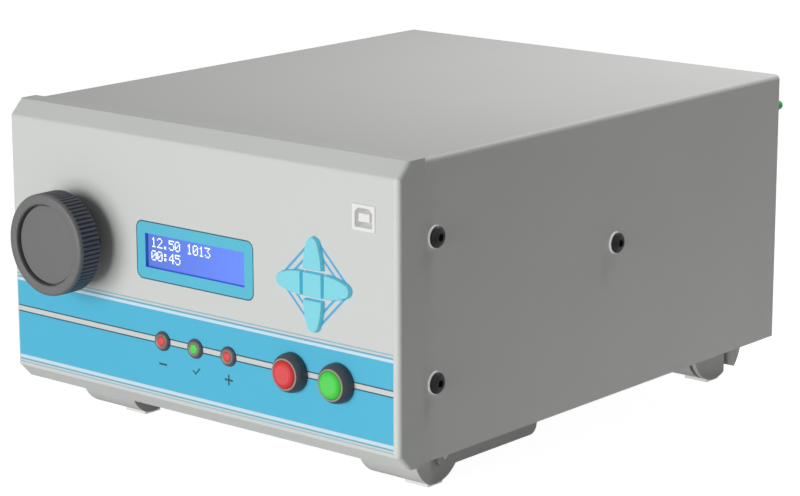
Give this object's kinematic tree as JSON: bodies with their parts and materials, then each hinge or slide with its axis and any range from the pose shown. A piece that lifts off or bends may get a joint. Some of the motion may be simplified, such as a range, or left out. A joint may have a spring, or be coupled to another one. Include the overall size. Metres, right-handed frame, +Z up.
{
  "type": "flow tester",
  "caption": "Bench flow tester in a desktop instrument case: pressure regulator knob, display, cursor keys, lamps, push buttons, tilt feet and rear ports.",
  "frame": {"origin": "on the bench top, under the middle of the whole instrument's bounding box", "axes": "+Z up, front panel facing -Y, +X to the right when facing the front panel"},
  "size_m": [0.24, 0.3332, 0.1502],
  "materials": {
    "bezel_paint": "light grey satin powder coat",
    "cover_paint": "grey fine textured powder coat",
    "front_film": "printed film, pale grey with a blue field",
    "bare_aluminium": "mill finish",
    "zinc_steel": "zinc plated",
    "black_steel": "black oxide",
    "white_nylon": "plain white nylon",
    "display_blue": "lit blue display face",
    "display_steel": "black metal frame",
    "green_board": "circuit board with solder mask",
    "key_blue": "soft turquoise moulding",
    "white_plastic": "moulded white plastic",
    "grey_plastic": "moulded mid grey plastic",
    "dark_plastic": "moulded dark grey plastic",
    "black_plastic": "moulded black plastic",
    "knob_black": "fine satin black",
    "lens_red": "clear red lens",
    "lens_green": "clear green lens",
    "cap_red": "glossy red button",
    "cap_green": "glossy green button",
    "plug_green": "green transit plug",
    "foot_grey": "moulded light grey foot",
    "pad_rubber": "grey non-slip pad",
    "brass": "plain brass",
    "cast_zinc": "die-cast body"
  },
  "bodies": {
    "instrument": {"front_bezel": "bezel_paint", "front_label": "front_film", "case_cover": "cover_paint", "base_plate": "zinc_steel", "side_rail_left": "bare_aluminium", "side_rail_right": "bare_aluminium", "rear_panel": "cover_paint", "side_screws": "black_steel", "side_screw_washers": "white_nylon", "rear_panel_screws": "black_steel", "display_frame": "display_steel", "display_glass": "display_blue", "display_board": "green_board", "keypad_board": "green_board", "usb_socket": "white_plastic", "lamp_low_bezel": "grey_plastic", "lamp_low_lens": "lens_red", "lamp_pass_bezel": "grey_plastic", "lamp_pass_lens": "lens_green", "lamp_high_bezel": "grey_plastic", "lamp_high_lens": "lens_red", "stop_button_bezel": "dark_plastic", "start_button_bezel": "dark_plastic", "button_nuts": "black_plastic", "regulator_body": "cast_zinc", "regulator_panel_nut": "black_steel", "foot_front_left": "foot_grey", "foot_front_right": "foot_grey", "foot_rear_left": "foot_grey", "foot_rear_right": "foot_grey", "foot_pads": "pad_rubber", "foot_screws": "zinc_steel", "tilt_leg_pins": "zinc_steel", "mains_inlet": "black_plastic", "inlet_pins": "brass", "mains_switch_body": "black_plastic", "serial_connector": "zinc_steel", "signal_connector": "zinc_steel", "supply_port": "brass", "test_port": "brass", "transit_plug": "plug_green", "main_board": "green_board", "board_pillars": "brass", "power_supply": "bare_aluminium", "flow_element": "bare_aluminium", "flow_element_clamps": "white_plastic", "pressure_sensor": "white_plastic", "solenoid_valve": "brass"},
    "knob": {"regulator_knob": "knob_black", "regulator_spindle": "zinc_steel"},
    "up_key": {"key_up": "key_blue"},
    "down_key": {"key_down": "key_blue"},
    "left_key": {"key_left": "key_blue"},
    "right_key": {"key_right": "key_blue"},
    "centre_key": {"key_centre": "key_blue"},
    "stop_cap": {"stop_button_cap": "cap_red"},
    "start_cap": {"start_button_cap": "cap_green"},
    "left_leg": {"tilt_leg_left": "foot_grey"},
    "right_leg": {"tilt_leg_right": "foot_grey"},
    "rocker": {"mains_switch_rocker": "black_plastic"}
  },
  "joints": [
    {"name": "regulator_turn", "type": "hinge", "parent": "instrument", "child": "knob", "pos_m": [-0.0725, -0.15465, 0.0918], "axis": [0, 1, 0], "range_deg": [0, 1440]},
    {"name": "up_key_press", "type": "slide", "parent": "instrument", "child": "up_key", "axis": [0, 1, 0], "range_m": [0, 0.0006], "stiffness_N_per_m": 800, "springref_m": -0.001},
    {"name": "down_key_press", "type": "slide", "parent": "instrument", "child": "down_key", "axis": [0, 1, 0], "range_m": [0, 0.0006], "stiffness_N_per_m": 800, "springref_m": -0.001},
    {"name": "left_key_press", "type": "slide", "parent": "instrument", "child": "left_key", "axis": [0, 1, 0], "range_m": [0, 0.0006], "stiffness_N_per_m": 800, "springref_m": -0.001},
    {"name": "right_key_press", "type": "slide", "parent": "instrument", "child": "right_key", "axis": [0, 1, 0], "range_m": [0, 0.0006], "stiffness_N_per_m": 800, "springref_m": -0.001},
    {"name": "centre_key_press", "type": "slide", "parent": "instrument", "child": "centre_key", "axis": [0, 1, 0], "range_m": [0, 0.0006], "stiffness_N_per_m": 800, "springref_m": -0.001},
    {"name": "stop_button_press", "type": "slide", "parent": "instrument", "child": "stop_cap", "axis": [0, 1, 0], "range_m": [0, 0.0025], "stiffness_N_per_m": 900, "springref_m": -0.002},
    {"name": "start_button_press", "type": "slide", "parent": "instrument", "child": "start_cap", "axis": [0, 1, 0], "range_m": [0, 0.0025], "stiffness_N_per_m": 900, "springref_m": -0.002},
    {"name": "left_leg_swing", "type": "hinge", "parent": "instrument", "child": "left_leg", "pos_m": [-0.0828, -0.10045, 0.0131], "axis": [-1, 0, 0], "range_deg": [0, 85]},
    {"name": "right_leg_swing", "type": "hinge", "parent": "instrument", "child": "right_leg", "pos_m": [0.09, -0.10045, 0.0131], "axis": [-1, 0, 0], "range_deg": [0, 85]},
    {"name": "mains_rocker_tilt", "type": "hinge", "parent": "instrument", "child": "rocker", "pos_m": [-0.05, 0.13815, 0.0517], "axis": [-1, 0, 0], "range_deg": [0, 18]}
  ]
}
